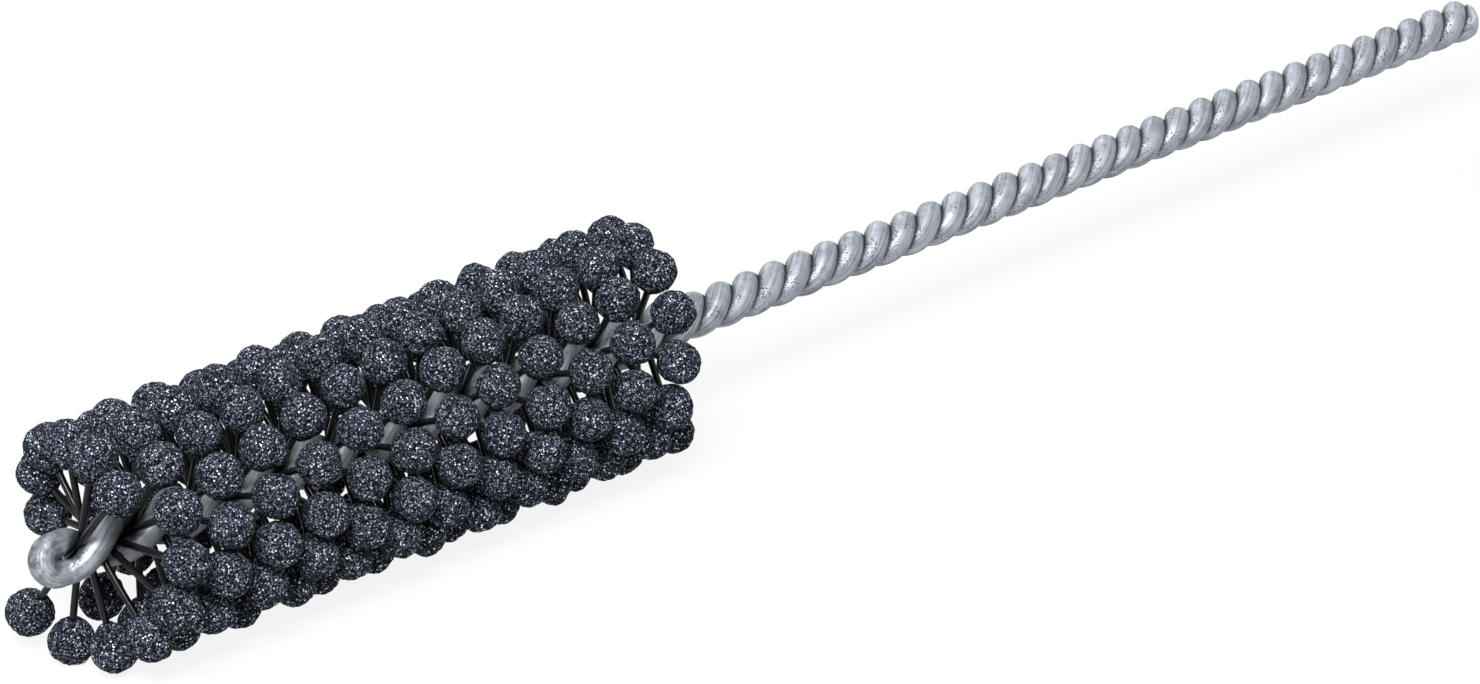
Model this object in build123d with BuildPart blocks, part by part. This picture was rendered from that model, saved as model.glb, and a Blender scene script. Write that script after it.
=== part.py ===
from build123d import *
from math import acos, atan, cos, degrees, exp, pi, radians, sin
import os

# Flexible hone: one steel wire folded in half and twisted grips a stack of nylon filaments,
# and each end of every filament carries a globule of abrasive.
# Millimetres. X runs along the wire from the folded tip to the shank, +Z is up,
# and the origin is on the axis at the cut end of the shank.

# Driving sizes
overall_length = 201.5
brush_diameter = 25.8

wire_diameter = 2.42
shank_lay = 3.083  # one full turn of the shank, in wire diameters
brush_lay = 4.711  # one full turn of the brush, in wire diameters
leg_gap = 0.04
shank_end_round = 0.9

loop_radius = 1.55
loop_lead = 6.6
loop_settle = 1.6
shank_settle_start = 1.2
shank_settle = 7.0

filament_diameter = 0.76
filament_gap = 0.089
filament_count = 84
filaments_per_group = 7
first_filament_angle = 125.7
clamp_gap = 0.02

globule_length = 4.9
globule_gap = 0.06
globule_width_spread = 0.04
socket_gap = 0.04
collar_wall = 0.3
collar_length = 0.2

reach_spread = 0.2
row_wander = 1.2
row_wander_period = 18
tip_wander = 0.3
tip_wander_period = 12.5
tip_droop = 0.15
splay = 2.0
splay_fade = 7
splay_angle = -34

knot_spacing = 1.25

# Sizes that follow
wire_radius = wire_diameter / 2
shank_pitch = shank_lay * wire_diameter
brush_pitch = brush_lay * wire_diameter
filament_radius = filament_diameter / 2
socket_radius = filament_radius + socket_gap
tip_x = -overall_length
bend_x = tip_x + loop_radius + wire_radius
first_x = tip_x + loop_lead
filament_step = filament_diameter + filament_gap
last_x = first_x + (filament_count - 1) * filament_step
settle_x = last_x + shank_settle_start
shank_leg_radius = wire_radius + leg_gap / 2
brush_leg_radius = wire_radius + filament_radius + clamp_gap
brush_rate = 360 / brush_pitch
shank_rate = 360 / shank_pitch

# A globule is as wide as the nearer neighbour allows, along its row or across to the next row,
# and never wider than it is long
globule_reach = brush_diameter / 2 - globule_length / 2 - reach_spread
row_step_angle = radians(brush_rate * filament_step)
neighbour_spacing = abs(complex(2 * globule_reach * sin(row_step_angle / 2), filament_step))
row_lead_angle = atan(brush_pitch / (2 * pi * globule_reach))
row_spacing = brush_pitch / 2 * cos(row_lead_angle)
globule_width = min(neighbour_spacing - globule_gap, row_spacing - globule_gap, globule_length)
collar_radius = socket_radius + collar_wall


def ease(t):
    """Smooth step from 0 to 1 as t goes from 0 to 1."""
    t = min(max(t, 0), 1)
    return t * t * (3 - 2 * t)


def eased_area(t):
    """Area under the smooth step from 0 to t."""
    t = max(t, 0)
    return t**3 - t**4 / 2 if t < 1 else t - 0.5


def twist(x):
    """Degrees of left-hand twist between the first filament and x."""
    before = (first_x - x) / loop_settle
    if before > 0:
        return -brush_rate * loop_settle * (before - eased_area(before))
    tightening = (shank_rate - brush_rate) * shank_settle * eased_area((x - settle_x) / shank_settle)
    return brush_rate * (x - first_x) + tightening


def leg_radius(x):
    """Distance of each wire leg's centre from the axis."""
    if x < first_x:
        opening = ease((first_x - x) / (first_x - bend_x))
        return brush_leg_radius + (loop_radius - brush_leg_radius) * opening
    closing = ease((x - settle_x) / shank_settle)
    return brush_leg_radius + (shank_leg_radius - brush_leg_radius) * closing


def around(x, radius, degrees):
    """Point at x, at a radius and angle about the X axis, counted from +Y towards +Z."""
    return Vector(x, radius * cos(radians(degrees)), radius * sin(radians(degrees)))


def leg_point(x, leg):
    """Centre of leg 0 or 1 of the folded wire at x."""
    return around(x, leg_radius(x), first_filament_angle + 90 + 180 * leg - twist(x))


def leg_slope(x, leg):
    """Change of leg_point for each millimetre of x."""
    nudge = 0.001
    return (leg_point(x + nudge, leg) - leg_point(x - nudge, leg)) * (0.5 / nudge)


def even_spread(number, stride):
    """Value from -1 to 1 that differs from one number to the next without repeating."""
    return 2 * ((number * stride) % 1) - 1


def filament_angle(index):
    """Direction of a filament's first end about the axis, square to the legs that grip it."""
    wander = row_wander * sin(2 * pi * index / row_wander_period)
    return first_filament_angle - twist(first_x + index * filament_step) + wander


def filament_end(index, end):
    """Centre of the globule on end 0 or 1 of a filament, leaning towards the tip of the tool."""
    angle = filament_angle(index) + 180 * end
    reach = globule_reach + reach_spread * even_spread(2 * index + end, 0.618)
    facing_splay = (1 + cos(radians(angle - splay_angle))) / 2
    tilt = tip_wander * sin(2 * pi * index / tip_wander_period) * (1 - 2 * end)
    forward = tip_droop + tilt + splay * exp(-index / splay_fade) * facing_splay
    return around(first_x + index * filament_step - forward, reach, angle)


def filament_path(index):
    """Gentle bow from one globule through the wire to the other."""
    middle = Vector(first_x + index * filament_step, 0, 0)
    return ThreePointArc(filament_end(index, 0), middle, filament_end(index, 1))


def globule_plane(index, end):
    """Plane at a globule's centre whose X direction is the filament's direction of entry."""
    bow = filament_path(index)
    buried = globule_length / 4 / bow.length
    outward = bow % (1 - buried) if end else (bow % buried) * -1
    return Plane(origin=filament_end(index, end), x_dir=outward, z_dir=outward.cross(Vector(1, 0, 0)))


# Core wire: both legs and the bend between them are one length of wire
run_out = wire_diameter
knot_count = round((run_out - bend_x) / knot_spacing)
knots = [bend_x + (run_out - bend_x) * number / knot_count for number in range(knot_count + 1)]

with BuildPart() as core_wire:
    with BuildLine() as folded_path:
        for leg in (0, 1):
            for near, far in zip(knots, knots[1:]):
                start, finish = leg_point(near, leg), leg_point(far, leg)
                third = (far - near) / 3
                Bezier(start, start + leg_slope(near, leg) * third, finish - leg_slope(far, leg) * third, finish)
        ThreePointArc(leg_point(bend_x, 0), Vector(bend_x - loop_radius, 0, 0), leg_point(bend_x, 1))
    folded_wire = folded_path.wire()
    with BuildSketch(Plane(origin=folded_wire @ 0, z_dir=folded_wire % 0)):
        Circle(wire_radius)
    sweep(path=folded_wire)
    # The shank is cropped square and its edge is rounded off
    with BuildSketch(Plane.XZ):
        with BuildLine():
            rim = wire_diameter + leg_gap
            rounding = RadiusArc((-shank_end_round, rim), (0, rim - shank_end_round), shank_end_round)
            far_corners = [(2 * run_out, 0), (2 * run_out, 2 * rim), (-shank_end_round, 2 * rim)]
            Polyline(rounding @ 1, (0, 0), *far_corners, rounding @ 0)
        make_face()
    revolve(axis=Axis.X, mode=Mode.SUBTRACT)
core_wire.part.label = "core_wire"

os.makedirs("parts", exist_ok=True)
export_step(core_wire.part, "parts/core_wire.step")

# Filaments and globules, a stretch of the helix at a time
group_count = -(-filament_count // filaments_per_group)
for group in range(group_count):
    members = range(group * filaments_per_group, min((group + 1) * filaments_per_group, filament_count))

    with BuildPart() as filaments:
        for index in members:
            with BuildLine() as bow:
                filament_path(index)
            with BuildSketch(Plane(origin=bow.line @ 0, z_dir=bow.line % 0)):
                Circle(filament_radius)
            sweep(path=bow.line)
    filaments.part.label = f"filaments_{group + 1:02d}"
    export_step(filaments.part, f"parts/{filaments.part.label}.step")

    for end, row in enumerate("ab"):
        with BuildPart() as globules:
            for index in members:
                seat = globule_plane(index, end)
                slimming = globule_width_spread * even_spread(2 * index + end, 0.755)
                width = globule_width * (1 - globule_width_spread / 2 + slimming / 2)
                # The outer end is a ball, and the inner end narrows to a collar of resin round the filament
                ball_centre = Vector((globule_length - width) / 2, 0)
                collar_end = Vector(-globule_length / 2 - collar_length, collar_radius)
                to_collar = collar_end - ball_centre
                touch_angle = Vector(1, 0).get_angle(to_collar) - degrees(acos(width / 2 / to_collar.length))
                with BuildSketch(seat):
                    with BuildLine():
                        ball = CenterArc(ball_centre, width / 2, 0, touch_angle)
                        Polyline(
                            ball @ 1,
                            collar_end,
                            (collar_end.X, socket_radius),
                            (socket_gap, socket_radius),
                            (socket_gap, 0),
                            ball @ 0,
                        )
                    make_face()
                revolve(axis=Axis(seat.origin, seat.x_dir))
        globules.part.label = f"globules_{row}_{group + 1:02d}"
        export_step(globules.part, f"parts/{globules.part.label}.step")
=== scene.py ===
import math

import bmesh
import bpy
from bpy.props import FloatProperty, FloatVectorProperty, IntProperty, PointerProperty
from mathutils import Matrix, Vector, noise


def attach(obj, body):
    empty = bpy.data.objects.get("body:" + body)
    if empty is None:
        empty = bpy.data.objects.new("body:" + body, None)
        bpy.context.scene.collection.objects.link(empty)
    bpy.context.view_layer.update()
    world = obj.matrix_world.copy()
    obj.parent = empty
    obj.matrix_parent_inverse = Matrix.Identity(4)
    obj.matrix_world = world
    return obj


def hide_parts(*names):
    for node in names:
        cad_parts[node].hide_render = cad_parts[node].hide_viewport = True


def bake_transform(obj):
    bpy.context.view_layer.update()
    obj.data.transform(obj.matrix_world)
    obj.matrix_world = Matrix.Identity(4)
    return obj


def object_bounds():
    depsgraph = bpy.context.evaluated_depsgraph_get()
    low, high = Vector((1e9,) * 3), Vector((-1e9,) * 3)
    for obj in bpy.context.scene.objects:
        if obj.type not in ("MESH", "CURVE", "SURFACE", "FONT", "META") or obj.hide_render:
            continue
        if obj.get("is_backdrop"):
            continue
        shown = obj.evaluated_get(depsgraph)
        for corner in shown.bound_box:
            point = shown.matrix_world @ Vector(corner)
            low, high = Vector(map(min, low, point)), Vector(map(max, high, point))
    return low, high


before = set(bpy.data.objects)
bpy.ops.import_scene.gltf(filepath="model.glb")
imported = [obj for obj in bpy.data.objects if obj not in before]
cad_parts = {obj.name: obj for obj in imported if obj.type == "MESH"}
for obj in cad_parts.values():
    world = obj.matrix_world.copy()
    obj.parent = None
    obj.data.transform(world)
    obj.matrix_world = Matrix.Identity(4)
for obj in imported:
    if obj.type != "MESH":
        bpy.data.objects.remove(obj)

bl_info = {
    "name": "Flexible Hone",
    "version": (1, 0, 0),
    "blender": (4, 5, 0),
    "location": "View3D > Sidebar > Hone",
    "description": "Twisted-wire hone with abrasive globules on nylon filaments",
    "category": "Object",
}

FULL_TURN = 2 * math.pi
SMOOTH_ANGLE = math.radians(50)

# The two rows of globules, one on each end of the filaments
ROWS = "ab"

# How finely curves are worked out
LAG_ROUNDS = 20
LEG_STEPS = 4000
BEND_STEPS = 60
ROUNDING_CUTS = 12

# Steps from one filament end to the next that spread reach and size evenly
REACH_STRIDE = 0.618
SIZE_STRIDE = 0.755

# Wear of the wire, as shares of its thickness: how many marks round it or dents
# to a metre, and how deep each kind is next to the others
MARK_DEPTH = 0.01
DENT_DEPTH = 0.014
DIE_MARKS = ((5, 0.5), (9, 0.3))
DENTS = ((650, 1.0), (1900, 0.5))

# How far before its globule's middle a filament ends, as a share of the globule's length
FILAMENT_SHORT = 0.3
# How far down a globule's inner end the cone goes, and how far the collar closes after it
CONE_SHARE = 0.75
COLLAR_CLOSING = 0.6
# Share of the brush in which the globules get slimmer
TIP_SHARE = 0.25
# Lumps and skin of a globule: how many to its radius, and how high each kind is
GLOBULE_LUMPS = ((1.2, 1.0), (2.8, 0.5), (12, 0.55))
# How far apart in the noise two globules take their lumps from
LUMP_STRIDE = (3.1, 1.7, 0.9)

# Height in metres that a full step of a bump stands for
BUMP_DEPTH = 0.00012
# Point that the lamps shine at
LAMP_AIM = Vector((-0.12, 0, 0))


def length(name, description, millimetres):
    """A size that is written here in millimetres and kept in metres."""
    return FloatProperty(
        name=name,
        description=description,
        default=millimetres / 1000,
        precision=5,
        subtype="DISTANCE",
        unit="LENGTH",
    )


def angle(name, description, degrees):
    """An angle that is written here in degrees and kept in radians."""
    return FloatProperty(
        name=name,
        description=description,
        default=math.radians(degrees),
        subtype="ANGLE",
        unit="ROTATION",
    )


def share(name, description, value):
    """A plain number, such as a ratio or a strength."""
    return FloatProperty(name=name, description=description, default=value, min=0.0)


def count(name, description, value):
    """A whole number of pieces."""
    return IntProperty(name=name, description=description, default=value, min=1)


def colour(name, description, rgb):
    """A colour in linear light."""
    return FloatVectorProperty(
        name=name, description=description, default=rgb, size=3, min=0.0, max=1.0, subtype="COLOR"
    )


class HoneSizes(bpy.types.PropertyGroup):
    """Sizes of the wire, the filaments and the globules."""

    overall_length: length("Overall length", "From the folded tip to the shank's cut end", 201.5)
    brush_diameter: length("Brush diameter", "Across the solid globules when free", 25.8)

    wire_diameter: length("Wire diameter", "Thickness of the folded wire", 2.42)
    shank_lay: share("Shank lay", "One full turn of the shank, in wire diameters", 3.083)
    brush_lay: share("Brush lay", "One full turn of the brush, in wire diameters", 4.711)
    leg_gap: length("Leg gap", "Clearance between the two legs of the shank", 0.04)
    shank_end_round: length("End rounding", "Rounding of the shank's cut end", 0.9)
    loop_radius: length("Loop radius", "Bend at the tip, to the middle of the wire", 1.55)
    loop_lead: length("Loop lead", "From the tip to the first filament", 4.9)
    twist_lag: length("Twist lag", "How far the twist falls behind beside the loop", 1.7)
    twist_lag_length: length("Twist lag length", "Length in which the twist falls behind", 14.0)
    loop_settle: length("Loop settling", "Length in which the twist dies out to the loop", 1.6)
    shank_settle_start: length(
        "Shank settling start", "From the last filament to where the twist tightens", 1.2
    )
    shank_settle: length("Shank settling", "Length in which the twist tightens", 7.0)
    ring_spacing: length("Ring spacing", "Distance between the wire's rings of faces", 0.42)
    twist_thickness: share(
        "Thickness in the twist", "Wire before its legs are pressed flat, in wire diameters", 1.19
    )
    loop_thickness: share("Thickness in the loop", "Wire at the bend, in wire diameters", 1.13)
    loop_slot: length("Loop slot", "Half the opening that is left in the loop", 0.14)

    filament_diameter: length("Filament diameter", "Thickness of a nylon filament", 0.76)
    filament_gap: length("Filament gap", "Clearance between neighbouring filaments", 0.089)
    filament_count: count("Filaments", "Filaments along the brush", 84)
    filaments_per_group: count("Filaments in a group", "Filaments that share a CAD node", 7)
    first_filament_angle: angle("First filament", "Its direction about the wire", 125.7)
    clamp_gap: length("Clamp gap", "Clearance between a filament and the wire", 0.02)

    globule_length: length("Globule length", "Length of a globule along its filament", 4.9)
    globule_gap: length("Globule gap", "Smallest clearance between neighbouring globules", 0.06)
    globule_spread: share("Globule spread", "How much smaller the smallest globule is", 0.04)
    tip_fullness: share(
        "Fullness at the tip", "Size of the first globules, as a multiple of the solid ones", 1.02
    )
    fullness: share("Fullness", "Width of most globules, as a multiple of the solid ones", 0.975)
    collar_radius: length("Collar radius", "Resin that climbs the filament", 0.72)
    collar_length: length("Collar length", "How far the resin climbs", 0.2)
    lump_height: length("Lump height", "Unevenness of a globule's surface", 0.2)
    grain_size: length("Grain size", "Size of a large abrasive grain", 0.24)

    reach_spread: length("Reach spread", "How much the filaments differ in reach", 0.2)
    row_wander: angle("Row wander", "How far the rows wander about the wire", 1.2)
    row_wander_period: share("Row wander period", "Filaments in one wave of the rows", 18)
    tip_wander: length("Tip wander", "How far the globules wander along the wire", 0.3)
    tip_wander_period: share("Tip wander period", "Filaments in one wave along the wire", 12.5)
    tip_droop: length("Tip droop", "How far every filament leans towards the tip", 0.15)
    extra_reach: length(
        "Extra reach", "How much further out the globules stand than the solid ones", 0.26
    )
    tip_flare: length("Tip flare", "How much further out again the first globules stand", 0.2)
    splay: length("Splay", "How far the first globule stands towards the tip", 2.8)
    splay_fade: share("Splay fade", "Filaments over which splay and flare fade", 7)
    splay_angle: angle("Splay direction", "Side of the brush that leans the most", -34)


class HoneFinishes(bpy.types.PropertyGroup):
    """Colours of the materials, and the light and camera of the stage."""

    zinc_bright: colour("Zinc, bright", "Smooth galvanised wire", (0.42, 0.45, 0.49))
    zinc_dull: colour("Zinc, dull", "Drawn streaks and blotches of the wire", (0.20, 0.22, 0.25))
    # Colour of real pits, also used for the painted shade in the groove and the loop
    zinc_pits_and_shade: colour("Zinc, pits", "Pits and grooves of the wire", (0.045, 0.05, 0.06))
    nylon: colour("Nylon", "Filaments", (0.003, 0.0033, 0.004))
    resin: colour("Resin", "Binder between the grains", (0.004, 0.005, 0.008))
    grain_dark: colour("Grain, dark", "Most abrasive grains", (0.009, 0.013, 0.023))
    grain_grey: colour("Grain, grey", "Grains that catch some light", (0.24, 0.28, 0.36))
    # Painted glint: near-white colour of the grains that glint, partly backed by a real metallic
    # reflection
    painted_glint_colour: colour("Grain, bright", "Grains that glint", (0.78, 0.87, 1.0))
    floor: colour("Floor", "Plain pale floor", (0.95, 0.95, 0.95))
    floor_bounce: colour("Floor bounce", "Floor as it lights the hone", (0.26, 0.26, 0.26))

    view_azimuth: angle("View azimuth", "Camera's direction about the upright, from +Y", -40.71)
    view_elevation: angle("View elevation", "Camera's height above the horizon", 26.95)
    view_distance: length("View distance", "From the camera to the point it looks at", 590.3)
    view_target: FloatVectorProperty(
        name="View target",
        description="Point the camera looks at",
        default=(-0.14125, -0.03507, 0.01823),
        subtype="XYZ",
    )
    focal_length: share("Focal length", "Millimetres on a sensor 36 mm wide", 147.8)
    shadow_share: share("Shadow share", "How much of the floor's shading the camera sees", 0.12)
    sky_strength: share("Sky strength", "Even light from all round", 0.15)


def ease(t):
    """Smooth step from 0 to 1 as t goes from 0 to 1."""
    t = min(max(t, 0.0), 1.0)
    return t * t * (3 - 2 * t)


def eased_area(t):
    """Area under the smooth step from 0 to t."""
    t = max(t, 0.0)
    return t**3 - t**4 / 2 if t < 1 else t - 0.5


def part_way(start, finish, part):
    """Value at a part of the way from start to finish."""
    return start + (finish - start) * part


def wave(index, period):
    """Value from -1 to 1 that swings once in a period of filaments."""
    return math.sin(FULL_TURN * index / period)


def even_spread(index, end, stride):
    """Value from -1 to 1 that differs from one filament end to the next without repeating."""
    return 2 * (((2 * index + end) * stride) % 1) - 1


def around(x, radius, turned):
    """Point at x, at a radius and angle about the X axis, counted from +Y towards +Z."""
    return Vector((x, radius * math.cos(turned), radius * math.sin(turned)))


class Winding:
    """Where the twisted wire, the filaments and the globules lie."""

    def __init__(self, sizes):
        self.sizes = sizes
        wire_radius = sizes.wire_diameter / 2
        self.filament_step = sizes.filament_diameter + sizes.filament_gap
        self.bend_x = -sizes.overall_length + sizes.loop_radius + wire_radius
        self.first_x = -sizes.overall_length + sizes.loop_lead
        self.settle_x = self.filament_x(sizes.filament_count - 1) + sizes.shank_settle_start
        self.shank_leg_radius = wire_radius + sizes.leg_gap / 2
        self.brush_leg_radius = wire_radius + sizes.filament_diameter / 2 + sizes.clamp_gap
        self.brush_rate = FULL_TURN / (sizes.brush_lay * sizes.wire_diameter)
        self.shank_rate = FULL_TURN / (sizes.shank_lay * sizes.wire_diameter)
        self.globule_reach = (
            sizes.brush_diameter / 2 - sizes.globule_length / 2 - sizes.reach_spread
        )
        spacing = min(self.neighbour_spacing(), self.row_spacing())
        self.globule_width = min(spacing - sizes.globule_gap, sizes.globule_length)

    def lag(self, x):
        """How far the twist has fallen behind an even twist at x."""
        return self.sizes.twist_lag * ease((x - self.first_x) / self.sizes.twist_lag_length)

    def filament_x(self, index):
        """Place of a filament along the wire, found in rounds because the lag depends on it."""
        even = self.first_x + index * self.filament_step
        x = even
        for _ in range(LAG_ROUNDS):
            x = even + self.lag(x)
        return x

    def neighbour_spacing(self):
        """Distance between globules of one row."""
        chord = 2 * self.globule_reach * math.sin(self.brush_rate * self.filament_step / 2)
        return math.hypot(chord, self.filament_step)

    def row_spacing(self):
        """Distance between the two rows."""
        pitch = FULL_TURN / self.brush_rate
        return pitch / 2 * math.cos(math.atan(pitch / (FULL_TURN * self.globule_reach)))

    def twist(self, x):
        """Left-hand twist between the first filament and x."""
        settle = self.sizes.loop_settle
        before = (self.first_x - x) / settle
        if before > 0:
            return -self.brush_rate * settle * (before - eased_area(before))
        tightening = self.sizes.shank_settle
        change = (self.shank_rate - self.brush_rate) * tightening
        tightened = change * eased_area((x - self.settle_x) / tightening)
        return self.brush_rate * (x - self.first_x - self.lag(x)) + tightened

    def twisted(self, x):
        """0 in the loop at the tip, and 1 from the first filament on."""
        return ease((x - self.bend_x) / (self.first_x - self.bend_x))

    def leg_radius(self, x):
        """Distance of each wire leg's middle from the axis."""
        if x < self.first_x:
            opening = ease((self.first_x - x) / (self.first_x - self.bend_x))
            return part_way(self.brush_leg_radius, self.sizes.loop_radius, opening)
        closing = ease((x - self.settle_x) / self.sizes.shank_settle)
        return part_way(self.brush_leg_radius, self.shank_leg_radius, closing)

    def leg_point(self, x, leg):
        """Middle of leg 0 or 1 of the folded wire at x."""
        square = FULL_TURN * (0.25 + 0.5 * leg)
        turned = self.sizes.first_filament_angle + square - self.twist(x)
        return around(x, self.leg_radius(x), turned)

    def filament_end(self, index, end):
        """Middle of the globule on end 0 or 1 of a filament."""
        sizes = self.sizes
        faded = math.exp(-index / sizes.splay_fade)
        wander = sizes.row_wander * wave(index, sizes.row_wander_period)
        square = sizes.first_filament_angle - self.twist(self.filament_x(index))
        turned = square + wander + math.pi * end
        flare = sizes.extra_reach + sizes.tip_flare * faded
        spread = sizes.reach_spread * even_spread(index, end, REACH_STRIDE)
        reach = self.globule_reach + flare + spread
        facing_splay = (1 + math.cos(turned - sizes.splay_angle)) / 2
        tilt = sizes.tip_wander * wave(index, sizes.tip_wander_period) * (1 - 2 * end)
        forward = sizes.tip_droop + tilt + sizes.splay * faded * facing_splay
        x = self.first_x + sizes.twist_lag + index * self.filament_step
        return around(x - forward, reach, turned)

    def globule_size(self, index, end):
        """Size of a globule, as a multiple of the largest."""
        spread = self.sizes.globule_spread
        return 1 - spread / 2 + spread * even_spread(index, end, SIZE_STRIDE) / 2


class Bow:
    """Half a filament: the arc from the wire out to the middle of one globule."""

    def __init__(self, winding, index, end):
        self.root = Vector((winding.filament_x(index), 0, 0))
        self.tip = winding.filament_end(index, end)
        other = winding.filament_end(index, 1 - end)
        # The middle of the circle through both globules and the axis
        side, far_side = self.tip - self.root, other - self.root
        self.square = side.cross(far_side).normalized()
        far_square = self.square.cross(side) * far_side.length_squared
        near_square = far_side.cross(self.square) * side.length_squared
        twice_area = side.cross(far_side).length
        self.middle = self.root + (far_square + near_square) / (2 * twice_area)
        self.start = self.root - self.middle
        self.sweep = self.start.angle(self.tip - self.middle)
        if self.start.cross(self.tip - self.middle).dot(self.square) < 0:
            self.square.negate()

    def length(self):
        """Length of the arc."""
        return self.sweep * self.start.length

    def at(self, part):
        """Point and direction at a part of the way from the wire to the globule."""
        spoke = Matrix.Rotation(self.sweep * part, 3, self.square) @ self.start
        return self.middle + spoke, self.square.cross(spoke).normalized()


class Flow:
    """A value between shader nodes. Arithmetic on it adds Math nodes."""

    def __init__(self, recipe, socket):
        self.recipe = recipe
        self.socket = socket

    def work_out(self, operation, first, second):
        """Adds one Math node."""
        return self.recipe.node("ShaderNodeMath", {"operation": operation}, {0: first, 1: second})

    def __add__(self, other):
        return self.work_out("ADD", self, other)

    __radd__ = __add__

    def __sub__(self, other):
        return self.work_out("SUBTRACT", self, other)

    def __rsub__(self, other):
        return self.work_out("SUBTRACT", other, self)

    def __mul__(self, other):
        return self.work_out("MULTIPLY", self, other)

    __rmul__ = __mul__

    def __pow__(self, other):
        return self.work_out("POWER", self, other)

    def __rpow__(self, other):
        return self.work_out("POWER", other, self)


class Recipe:
    """The node tree of one material or of the world."""

    def __init__(self, owner):
        owner.use_nodes = True
        self.tree = owner.node_tree
        self.tree.nodes.clear()

    def node(self, kind, settings=None, inputs=None, output=0):
        """Adds a node, sets it up, feeds its sockets, and gives one of its outputs."""
        made = self.tree.nodes.new(kind)
        for name, value in (settings or {}).items():
            setattr(made, name, value)
        for name, value in (inputs or {}).items():
            if isinstance(value, Flow):
                self.tree.links.new(value.socket, made.inputs[name])
            else:
                made.inputs[name].default_value = value
        return Flow(self, made.outputs[output]) if made.outputs else made

    def object_place(self):
        """Where a point lies on the object."""
        return self.node("ShaderNodeTexCoord", output="Object")

    def stored(self, name):
        """A value that the mesh keeps at each point."""
        return self.node("ShaderNodeAttribute", {"attribute_name": name}, output="Fac")

    def axis(self, vector, name):
        """X, Y or Z of a vector."""
        return self.node("ShaderNodeSeparateXYZ", {}, {"Vector": vector}, output=name)

    def channel(self, mixed, name):
        """Red, Green or Blue of a colour."""
        return self.node("ShaderNodeSeparateColor", {}, {"Color": mixed}, output=name)

    def between(self, low, high, value):
        """0 at low and 1 at high, whichever is the larger, with a smooth step between them."""
        settings = {"interpolation_type": "SMOOTHSTEP"}
        inputs = {"Value": value, "From Min": low, "From Max": high}
        return self.node("ShaderNodeMapRange", settings, inputs)

    def clamp(self, value):
        """A value kept from 0 to 1."""
        return self.node("ShaderNodeClamp", {}, {"Value": value})

    def mix(self, factor, first, second):
        """Colour between two colours."""
        first, second = (tint if isinstance(tint, Flow) else (*tint, 1) for tint in (first, second))
        settings = {"data_type": "RGBA"}
        return self.node("ShaderNodeMix", settings, {0: factor, 6: first, 7: second}, output=2)

    def noise(self, vector, scale, detail=2.0, roughness=0.5):
        """Soft noise from 0 to 1."""
        inputs = {"Vector": vector, "Scale": scale, "Detail": detail, "Roughness": roughness}
        return self.node("ShaderNodeTexNoise", {}, inputs)

    def grains(self, place, size, output):
        """Packed grains of one size: a random Color for each, or the Distance from its middle."""
        inputs = {"Vector": place, "Scale": 1 / size, "Randomness": 1.0}
        return self.node("ShaderNodeTexVoronoi", {}, inputs, output=output)

    def bump(self, strength, height):
        """Normal that makes a height look embossed."""
        inputs = {"Strength": strength, "Distance": BUMP_DEPTH, "Height": height}
        return self.node("ShaderNodeBump", {}, inputs)

    def finish(self, surface):
        """Puts a surface on the material."""
        self.node("ShaderNodeOutputMaterial", {}, {"Surface": surface})

    def finish_solid(self, inputs):
        """Puts a Principled surface with these inputs on the material."""
        self.finish(self.node("ShaderNodeBsdfPrincipled", {}, inputs))


def new_material(name):
    """An empty material and its recipe."""
    material = bpy.data.materials.new(name)
    return material, Recipe(material)


def drawn_streaks(recipe):
    """Streaks that the drawing die left along the wire, from its UV map, seamless round it."""
    along_and_round = recipe.node("ShaderNodeTexCoord", output="UV")
    along = recipe.axis(along_and_round, "X")
    turned = recipe.axis(along_and_round, "Y") * FULL_TURN
    cosine = recipe.node("ShaderNodeMath", {"operation": "COSINE"}, {0: turned})
    sine = recipe.node("ShaderNodeMath", {"operation": "SINE"}, {0: turned})
    strand = {"X": along * 90.0, "Y": cosine * 4.0, "Z": sine * 4.0}
    place = recipe.node("ShaderNodeCombineXYZ", {}, strand)
    return recipe.noise(place, scale=1.0, detail=5.0, roughness=0.62)


def galvanised_wire(finishes):
    """Drawn wire with a zinc coat: streaks, dull blotches and pits, with painted shade in the
    groove where the legs meet and in the loop.
    """
    material, recipe = new_material("galvanised_wire")
    place = recipe.object_place()
    drawn = drawn_streaks(recipe)
    blotch = recipe.noise(place, scale=620.0, detail=4.0, roughness=0.6)
    speckle = recipe.noise(place, scale=5200.0, roughness=0.6)
    depth = recipe.stored("depth")
    pit_zone = recipe.between(0.52, 0.66, recipe.noise(place, scale=420.0) + depth * 0.6)
    pits = recipe.between(0.54, 0.64, speckle) * pit_zone
    # Painted shade: the colour darkens deep in the groove where the two legs meet, where shade
    # falls.
    groove = recipe.between(0.18, 0.36, depth)
    # Painted shade: irregular dark patches over the loop at the tip, standing in for its shading.
    loop_shade_noise = recipe.noise(place, scale=800.0, detail=3.0, roughness=0.6)
    painted_loop_shade = recipe.between(0.44, 0.6, loop_shade_noise) * recipe.stored("bend")

    dull = recipe.between(0.38, 0.66, drawn * 0.65 + blotch * 0.35)
    zinc = recipe.mix(dull, finishes.zinc_bright, finishes.zinc_dull)
    # Real pits, and the painted shade of the groove and the loop, darken the zinc towards this
    # colour.
    for pit_and_shade in (pits * 0.75, groove * 0.85, painted_loop_shade * 0.55):
        zinc = recipe.mix(pit_and_shade, zinc, finishes.zinc_pits_and_shade)
    recipe.finish_solid({
        "Base Color": zinc,
        "Metallic": 0.8,
        "Roughness": 0.48 + dull * 0.14 + blotch * 0.1 + pits * 0.2,
        "Normal": recipe.bump(0.55, drawn * 0.5 + blotch * 0.35 - pits * 0.5),
    })
    return material


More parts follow.
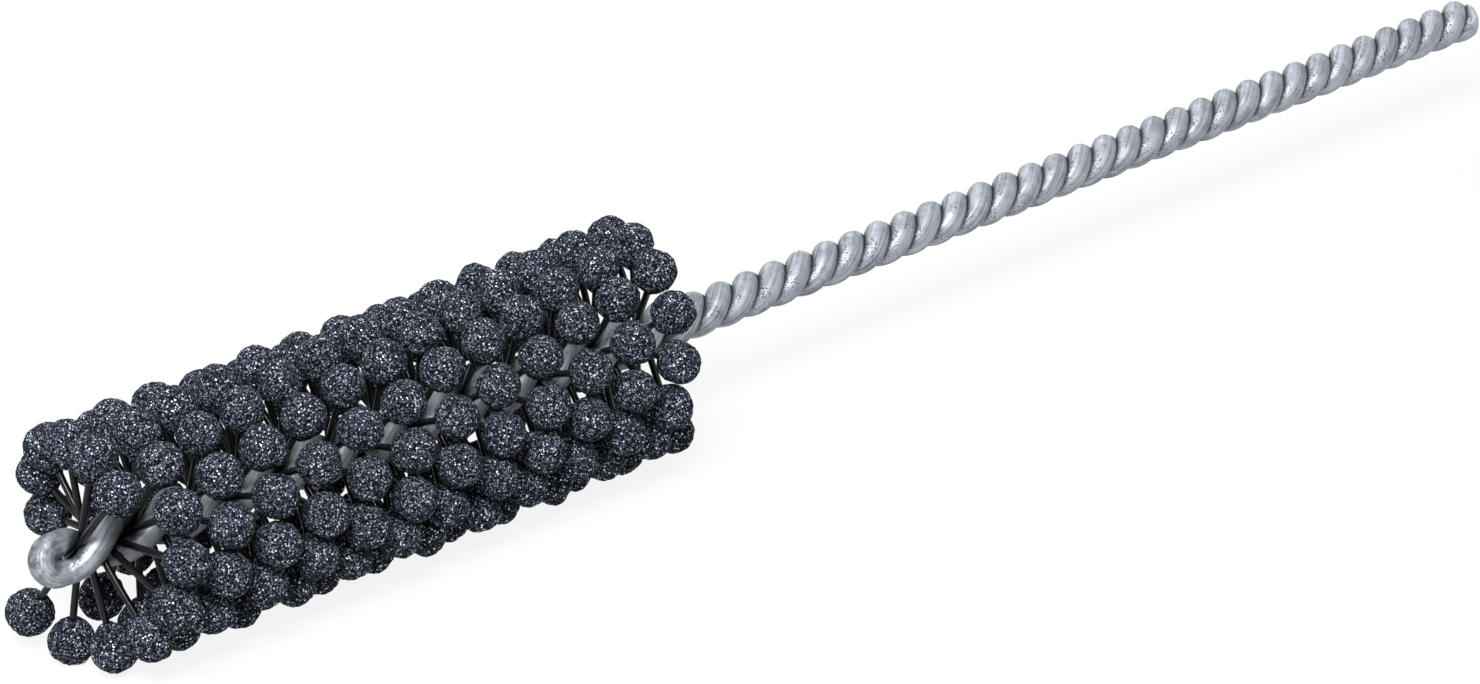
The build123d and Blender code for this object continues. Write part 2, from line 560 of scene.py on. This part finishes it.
def nylon(finishes):
    """Glossy black monofilament with faint scuffs."""
    material, recipe = new_material("nylon")
    scuff = recipe.noise(recipe.object_place(), scale=900.0, detail=3.0, roughness=0.6)
    scuffed = recipe.between(0.5, 0.75, scuff)
    recipe.finish_solid({
        "Base Color": recipe.mix(scuffed * 0.2, finishes.nylon, finishes.grain_dark),
        "Roughness": 0.1 + scuff * 0.15,
        "Specular IOR Level": 0.25,
    })
    return material


def abrasive(sizes, finishes):
    """Sharp grains in dark resin: most are dark and some grey; a few carry painted glints, a
    near-white colour partly backed by a real metallic reflection.
    """
    material, recipe = new_material("abrasive")
    place = recipe.object_place()
    small_size = sizes.grain_size / 1.8
    lot = recipe.grains(place, sizes.grain_size, "Color")
    from_middle = recipe.grains(place, sizes.grain_size, "Distance")
    small_lot = recipe.grains(place, small_size, "Color")
    from_small = recipe.grains(place, small_size, "Distance")
    pick = recipe.channel(lot, "Red")
    tone = recipe.channel(lot, "Green")
    small_pick = recipe.channel(small_lot, "Blue")
    facet = recipe.between(0.62, 0.36, from_middle)
    small_facet = recipe.between(0.66, 0.40, from_small)
    grey = facet * tone**3 + small_facet * small_pick**4
    # Painted glints: a few grains and small specks are picked to get a near-white colour.
    glint = recipe.between(0.88, 0.92, pick) * recipe.between(0.52, 0.36, from_middle)
    spark = recipe.between(0.92, 0.95, small_pick) * small_facet
    bright = recipe.clamp(glint + spark * 0.8)

    grain = recipe.mix(facet, finishes.resin, finishes.grain_dark)
    grain = recipe.mix(recipe.clamp(grey), grain, finishes.grain_grey)
    # Painted glints laid on the grain colour; Metallic below adds a partly real reflection.
    grain = recipe.mix(bright, grain, finishes.painted_glint_colour)
    recipe.finish_solid({
        "Base Color": grain,
        "Metallic": bright * 0.6,
        "Roughness": 0.75 - bright * 0.45,
        "Specular IOR Level": 0.04,
        "Normal": recipe.bump(1.0, facet * (0.4 + tone * 0.6) + small_facet * 0.3),
    })
    return material


def seen_directly(recipe):
    """1 for rays from the camera, a mirror or a glass, and 0 for rays that gather light."""
    rays = ("Is Camera Ray", "Is Glossy Ray", "Is Transmission Ray")
    return recipe.clamp(sum(recipe.node("ShaderNodeLightPath", output=ray) for ray in rays))


def pale_floor(finishes):
    """Pale floor that the camera sees as nearly white, with the object's shadow on it."""
    material, recipe = new_material("pale_floor")
    seen = seen_directly(recipe)
    paint = recipe.mix(seen, finishes.floor_bounce, finishes.floor)
    matt = recipe.node("ShaderNodeBsdfDiffuse", {}, {"Color": paint})
    white = recipe.node("ShaderNodeEmission", {}, {"Color": (1, 1, 1, 1), "Strength": 1.0})
    whiteness = seen * (1 - finishes.shadow_share)
    recipe.finish(recipe.node("ShaderNodeMixShader", {}, {0: whiteness, 1: matt, 2: white}))
    return material


def deselect_all():
    """Leaves object mode with nothing selected."""
    if bpy.context.object and bpy.context.object.mode != "OBJECT":
        bpy.ops.object.mode_set(mode="OBJECT")
    bpy.ops.object.select_all(action="DESELECT")


def select_only(*pieces):
    """Selects just these pieces and makes the first one active."""
    deselect_all()
    for piece in pieces:
        piece.select_set(True)
    bpy.context.view_layer.objects.active = pieces[0]


def joined(pieces, name):
    """Joins pieces into the first one and names it."""
    select_only(*pieces)
    bpy.ops.object.join()
    whole = bpy.context.object
    whole.name = name
    whole.data.name = name
    return whole


def copied(pattern, name):
    """A copy of a pattern piece with a mesh of its own."""
    copy = pattern.copy()
    copy.data = pattern.data.copy()
    copy.name = name
    bpy.context.scene.collection.objects.link(copy)
    return copy


def discard(piece):
    """Removes a helper piece that has done its work."""
    bpy.data.objects.remove(piece, do_unlink=True)


def evenly_spaced(points, spacing):
    """Points at even distances along a dense line of points."""
    spaced, walked, due = [points[0]], 0.0, spacing
    for near, far in zip(points, points[1:]):
        step = (far - near).length
        while walked + step >= due:
            spaced.append(near.lerp(far, (due - walked) / step))
            due += spacing
        walked += step
    return spaced


def wire_route(winding):
    """Middle line of the folded wire: down one leg, round the bend and back up the other."""
    sizes = winding.sizes
    bend_middle = Vector((winding.bend_x, 0, 0))
    # The wire runs past the origin, where the shank is cut off
    span = sizes.wire_diameter - winding.bend_x
    places = [winding.bend_x + span * step / LEG_STEPS for step in range(LEG_STEPS + 1)]
    up = [winding.leg_point(x, 0) for x in places]
    down = [winding.leg_point(x, 1) for x in places]
    across = (up[0] - bend_middle).normalized()
    bend = []
    for step in range(1, BEND_STEPS):
        turned = math.pi * step / BEND_STEPS
        side = across * sizes.loop_radius * math.cos(turned)
        bend.append(Vector((winding.bend_x - sizes.loop_radius * math.sin(turned), 0, 0)) + side)
    return evenly_spaced(up[::-1] + bend + down, sizes.ring_spacing)


def swept_wire(sizes, route):
    """Wire of round section along its route."""
    bpy.ops.curve.primitive_bezier_circle_add(radius=sizes.wire_diameter / 2)
    section = bpy.context.object
    section.data.resolution_u = 8
    line = bpy.data.curves.new("wire", "CURVE")
    line.dimensions = "3D"
    line.twist_mode = "MINIMUM"
    line.bevel_mode = "OBJECT"
    line.bevel_object = section
    spline = line.splines.new("POLY")
    spline.points.add(len(route) - 1)
    for point, place in zip(spline.points, route):
        point.co = (*place, 1)
    wire = bpy.data.objects.new("wire", line)
    bpy.context.scene.collection.objects.link(wire)
    select_only(wire)
    bpy.ops.object.convert(target="MESH")
    wire = bpy.context.object
    discard(section)
    return wire


def wear(place, part_round):
    """Thickness of the wire at a point, as a multiple, with die marks and small dents."""
    marks = sum(depth * math.sin(FULL_TURN * ridges * part_round) for ridges, depth in DIE_MARKS)
    dents = sum(depth * noise.noise(place * scale) for scale, depth in DENTS)
    return 1 - MARK_DEPTH + MARK_DEPTH * marks + DENT_DEPTH * dents


def press_legs(piece, route, winding):
    """Gives the wire its real section: thicker, and flat where the legs meet or grip."""
    sizes = winding.sizes
    sides = len(piece.data.vertices) // len(route)
    wire_radius = sizes.wire_diameter / 2
    for number, middle in enumerate(route):
        inner = Vector((max(middle.x, winding.bend_x), 0, 0))
        spoke = middle - inner
        outward = spoke.normalized()
        twisted = winding.twisted(middle.x)
        thickness = part_way(sizes.loop_thickness, sizes.twist_thickness, twisted)
        flat = part_way(sizes.loop_slot, spoke.length - wire_radius, twisted)
        ring = piece.data.vertices[number * sides:(number + 1) * sides]
        for side, vertex in enumerate(ring):
            grown = (vertex.co - middle) * thickness * wear(vertex.co, side / sides)
            place = middle + grown - outward * (thickness - 1) * wire_radius
            # The flat winds with the legs, so each point meets it at its own place along the wire
            facing = outward
            if middle.x > winding.bend_x:
                turned = winding.twist(middle.x) - winding.twist(max(place.x, winding.bend_x))
                facing = Matrix.Rotation(turned, 3, "X") @ outward
            short = flat - (place - inner).dot(facing)
            vertex.co = place + facing * max(short, 0)


def cut_across(mesh, x, clear_outer=False):
    """Cuts a mesh square to the wire's axis at x."""
    bmesh.ops.bisect_plane(
        mesh,
        geom=mesh.verts[:] + mesh.edges[:] + mesh.faces[:],
        plane_co=(x, 0, 0),
        plane_no=(1, 0, 0),
        clear_outer=clear_outer,
    )


def round_cut_end(mesh, sizes):
    """Cuts the shank square at the origin and turns its edge round, as on a lathe."""
    cut_across(mesh, 0, clear_outer=True)
    rim = [edge for edge in mesh.edges if edge.is_boundary]
    bmesh.ops.edgeloop_fill(mesh, edges=rim)
    rounding = sizes.shank_end_round
    # Rings of edges in the rounding, so that the rim comes out smooth
    for cut in range(ROUNDING_CUTS):
        cut_across(mesh, -rounding * math.cos(FULL_TURN / 4 * cut / ROUNDING_CUTS))
    outer = sizes.wire_diameter + sizes.leg_gap
    for vertex in mesh.verts:
        past = vertex.co.x + rounding
        if past <= 0:
            continue
        limit = outer - rounding + math.sqrt(max(rounding**2 - past**2, 0))
        radius = math.hypot(vertex.co.y, vertex.co.z)
        if radius > limit:
            vertex.co.y *= limit / radius
            vertex.co.z *= limit / radius


def mark_shade_and_pit_zones(piece, winding):
    """Stores each point's depth in the groove between the legs, and its share in the loop, by which
    the wire's material places its painted shade and its pits.
    """
    stored = {"depth": [], "bend": []}
    for vertex in piece.data.vertices:
        outer = winding.leg_radius(vertex.co.x) + winding.sizes.wire_diameter / 2
        twisted = winding.twisted(vertex.co.x)
        sunk = 1 - min(math.hypot(vertex.co.y, vertex.co.z) / outer, 1)
        stored["depth"].append(twisted * sunk)
        stored["bend"].append(1 - twisted)
    for name, values in stored.items():
        attribute = piece.data.attributes.new(name, "FLOAT", "POINT")
        attribute.data.foreach_set("value", values)


class HONE_OT_core_wire(bpy.types.Operator):
    """Folded and twisted wire that carries the filaments"""

    bl_idname = "hone.core_wire"
    bl_label = "Core Wire"

    def execute(self, context):
        sizes = context.scene.hone_sizes
        winding = Winding(sizes)
        deselect_all()
        route = wire_route(winding)
        wire = swept_wire(sizes, route)
        press_legs(wire, route, winding)

        mesh = bmesh.new()
        mesh.from_mesh(wire.data)
        round_cut_end(mesh, sizes)
        bmesh.ops.recalc_face_normals(mesh, faces=mesh.faces)
        mesh.to_mesh(wire.data)
        mesh.free()
        mark_shade_and_pit_zones(wire, winding)
        select_only(wire)
        bpy.ops.object.shade_smooth_by_angle(angle=SMOOTH_ANGLE)
        wire.data.materials.clear()
        wire.data.materials.append(galvanised_wire(context.scene.hone_finishes))
        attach(wire, "stem")
        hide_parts("core_wire")
        return {"FINISHED"}


def straight_filament():
    """Half a filament of unit length and radius along +X, to be bent."""
    bpy.ops.mesh.primitive_cylinder_add(
        vertices=8, radius=1, depth=1, location=(0.5, 0, 0), rotation=(0, math.radians(90), 0)
    )
    straight = bpy.context.object
    bpy.ops.object.transform_apply(location=True, rotation=True, scale=True)
    bpy.ops.object.mode_set(mode="EDIT")
    bpy.ops.mesh.select_all(action="DESELECT")
    mesh = bmesh.from_edit_mesh(straight.data)
    # Only the edges along the filament are divided
    for edge in mesh.edges:
        start, finish = edge.verts
        edge.select_set(abs(start.co.x - finish.co.x) > 0.5)
    bmesh.update_edit_mesh(straight.data)
    bpy.ops.mesh.subdivide(number_cuts=6)
    bpy.ops.object.mode_set(mode="OBJECT")
    return straight


def bend_filament(piece, bow, sizes):
    """Bends a straight filament along its bow, into its globule."""
    radius = sizes.filament_diameter / 2
    reach = 1 - sizes.globule_length * FILAMENT_SHORT / bow.length()
    across = bow.square
    for vertex in piece.data.vertices:
        part, side, rise = vertex.co
        point, direction = bow.at(part * reach)
        vertex.co = point + across * side * radius + across.cross(direction) * rise * radius


class HONE_OT_filaments(bpy.types.Operator):
    """Nylon filaments, each in two halves that bend between the wire and a globule"""

    bl_idname = "hone.filaments"
    bl_label = "Filaments"

    def execute(self, context):
        sizes = context.scene.hone_sizes
        winding = Winding(sizes)
        black = nylon(context.scene.hone_finishes)
        deselect_all()
        straight = straight_filament()
        for index in range(sizes.filament_count):
            group = index // sizes.filaments_per_group + 1
            for end, row in enumerate(ROWS):
                half = copied(straight, f"filament_{index + 1:02d}{row}")
                bow = Bow(winding, index, end)
                bend_filament(half, bow, sizes)
                select_only(half)
                bpy.ops.object.shade_smooth_by_angle(angle=SMOOTH_ANGLE)
                half.data.materials.append(black)
                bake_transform(half)
                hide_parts(f"filaments_{group:02d}")
        discard(straight)
        return {"FINISHED"}


def plain_globule(sizes, width):
    """A drop: a ball at its outer end, +X, that narrows to a collar round the filament."""
    radius = width / 2
    bpy.ops.mesh.primitive_ico_sphere_add(subdivisions=4, radius=radius)
    drop = bpy.context.object
    ball_x = (sizes.globule_length - width) / 2
    collar_x = -sizes.globule_length / 2 - sizes.collar_length - ball_x
    collar = Vector((collar_x, sizes.collar_radius))
    # Where a cone from the collar touches the ball
    touch = math.atan2(collar.y, collar.x) - math.acos(radius / collar.length)
    shoulder = Vector((math.cos(touch), math.sin(touch))) * radius
    for vertex in drop.data.vertices:
        turned = math.acos(max(-1.0, min(1.0, vertex.co.x / radius)))
        if turned > touch:
            down = (turned - touch) / (math.pi - touch)
            cone = shoulder.lerp(collar, min(down / CONE_SHARE, 1))
            closing = COLLAR_CLOSING * max(down - CONE_SHARE, 0) / (1 - CONE_SHARE)
            outward = Vector((0, vertex.co.y, vertex.co.z)).normalized()
            vertex.co = Vector((cone.x, 0, 0)) + outward * cone.y * (1 - closing)
        vertex.co.x += ball_x
    return drop


def shaped_globule(drop, winding, index, end):
    """A globule with its own size, lumps and rough skin, seated on its filament."""
    sizes = winding.sizes
    globule = copied(drop, "globule")
    bow = Bow(winding, index, end)
    outward = bow.at(1 - sizes.globule_length / 4 / bow.length())[1]
    turn = outward.to_track_quat("X", "Z").to_matrix().to_4x4()
    seat = Matrix.Translation(bow.tip) @ turn

    slimmer = ease(index / sizes.filament_count / TIP_SHARE)
    fullness = part_way(sizes.tip_fullness, sizes.fullness, slimmer)
    size = winding.globule_size(index, end)
    scale = Vector((sizes.tip_fullness, fullness, fullness)) * size
    origin = Vector([step * (2 * index + end) for step in LUMP_STRIDE])
    for vertex in globule.data.vertices:
        way = vertex.co.normalized()
        rough = sum(height * noise.noise(way * lumps + origin) for lumps, height in GLOBULE_LUMPS)
        vertex.co = seat @ (vertex.co * scale + way * sizes.lump_height * rough)
    return globule


class HONE_OT_globules(bpy.types.Operator):
    """Abrasive globules, one on each filament end, in two rows"""

    bl_idname = "hone.globules"
    bl_label = "Globules"

    def execute(self, context):
        sizes = context.scene.hone_sizes
        winding = Winding(sizes)
        grit = abrasive(sizes, context.scene.hone_finishes)
        deselect_all()
        drop = plain_globule(sizes, winding.globule_width)
        group_size = sizes.filaments_per_group
        for end, row in enumerate(ROWS):
            for first in range(0, sizes.filament_count, group_size):
                group = range(first, min(first + group_size, sizes.filament_count))
                members = [shaped_globule(drop, winding, index, end) for index in group]
                name = f"globules_{row}_{first // group_size + 1:02d}"
                cluster = joined(members, f"{name}_grit")
                bpy.ops.object.shade_smooth()
                cluster.data.materials.append(grit)
                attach(cluster, "globules")
                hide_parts(name)
        discard(drop)
        return {"FINISHED"}


class HONE_OT_stage(bpy.types.Operator):
    """Pale floor, soft light and the camera"""

    bl_idname = "hone.stage"
    bl_label = "Stage"

    def execute(self, context):
        finishes = context.scene.hone_finishes
        deselect_all()
        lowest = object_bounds()[0][2]
        bpy.ops.mesh.primitive_plane_add(size=8, location=(-0.1, 0, lowest))
        floor = context.object
        floor.name = "floor"
        bpy.ops.object.transform_apply(location=True, rotation=True, scale=True)
        floor.data.materials.append(pale_floor(finishes))
        floor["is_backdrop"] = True
        self.add_sky(context, finishes)
        self.add_lamp(context, "key_light", place=(-0.56, -0.36, 0.66), size=0.40, power=9.8)
        self.add_lamp(context, "rim_light", place=(0.20, 0.55, 0.60), size=0.5, power=2.0)
        self.add_camera(context, finishes)
        context.scene.view_settings.view_transform = "Standard"
        return {"FINISHED"}

    def add_sky(self, context, finishes):
        """White to the camera, and an even weak light on the hone."""
        world = bpy.data.worlds.new("studio")
        context.scene.world = world
        recipe = Recipe(world)
        weak = finishes.sky_strength
        strength = seen_directly(recipe) * (1 - weak) + weak
        background = {"Color": (1, 1, 1, 1), "Strength": strength}
        sky = recipe.node("ShaderNodeBackground", {}, background)
        recipe.node("ShaderNodeOutputWorld", {}, {"Surface": sky})

    def add_lamp(self, context, name, place, size, power):
        """A large soft lamp that shines on the brush."""
        lamp = bpy.data.lights.new(name, "AREA")
        lamp.shape = "DISK"
        lamp.size = size
        lamp.energy = power
        holder = bpy.data.objects.new(name, lamp)
        holder.location = place
        holder.rotation_euler = (LAMP_AIM - Vector(place)).to_track_quat("-Z", "Y").to_euler()
        context.scene.collection.objects.link(holder)

    def add_camera(self, context, finishes):
        """Camera at the photograph's angle."""
        turn, tilt = finishes.view_azimuth, finishes.view_elevation
        level = math.cos(tilt)
        forward = Vector((-math.sin(turn) * level, math.cos(turn) * level, -math.sin(tilt)))
        lens = bpy.data.cameras.new("camera")
        lens.sensor_fit = "HORIZONTAL"
        lens.sensor_width = 36
        lens.lens = finishes.focal_length
        lens.clip_start = 0.01
        lens.clip_end = 20
        camera = bpy.data.objects.new("camera", lens)
        camera.location = Vector(finishes.view_target) - forward * finishes.view_distance
        camera.rotation_euler = forward.to_track_quat("-Z", "Y").to_euler()
        context.scene.collection.objects.link(camera)
        context.scene.camera = camera


STEPS = (HONE_OT_stage, HONE_OT_core_wire, HONE_OT_filaments, HONE_OT_globules)


class HONE_PT_sidebar(bpy.types.Panel):
    """Sizes, finishes and building steps of the hone"""

    bl_idname = "HONE_PT_sidebar"
    bl_label = "Flexible Hone"
    bl_space_type = "VIEW_3D"
    bl_region_type = "UI"
    bl_category = "Hone"

    def draw(self, context):
        for group in (context.scene.hone_sizes, context.scene.hone_finishes):
            box = self.layout.box()
            for name in group.bl_rna.properties.keys():
                if name not in ("rna_type", "name"):
                    box.prop(group, name)
        for step in STEPS:
            self.layout.operator(step.bl_idname)


CLASSES = (HoneSizes, HoneFinishes, *STEPS, HONE_PT_sidebar)


def register():
    """Registers the classes and gives the scene its settings."""
    for item in CLASSES:
        bpy.utils.register_class(item)
    bpy.types.Scene.hone_sizes = PointerProperty(type=HoneSizes)
    bpy.types.Scene.hone_finishes = PointerProperty(type=HoneFinishes)


def unregister():
    """Removes the settings and the classes."""
    del bpy.types.Scene.hone_finishes
    del bpy.types.Scene.hone_sizes
    for item in reversed(CLASSES):
        bpy.utils.unregister_class(item)


def main():
    """Builds the hone."""
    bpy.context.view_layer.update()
    register()
    bpy.ops.hone.stage()
    bpy.ops.hone.core_wire()
    bpy.ops.hone.filaments()
    bpy.ops.hone.globules()


if __name__ == "__main__":
    main()
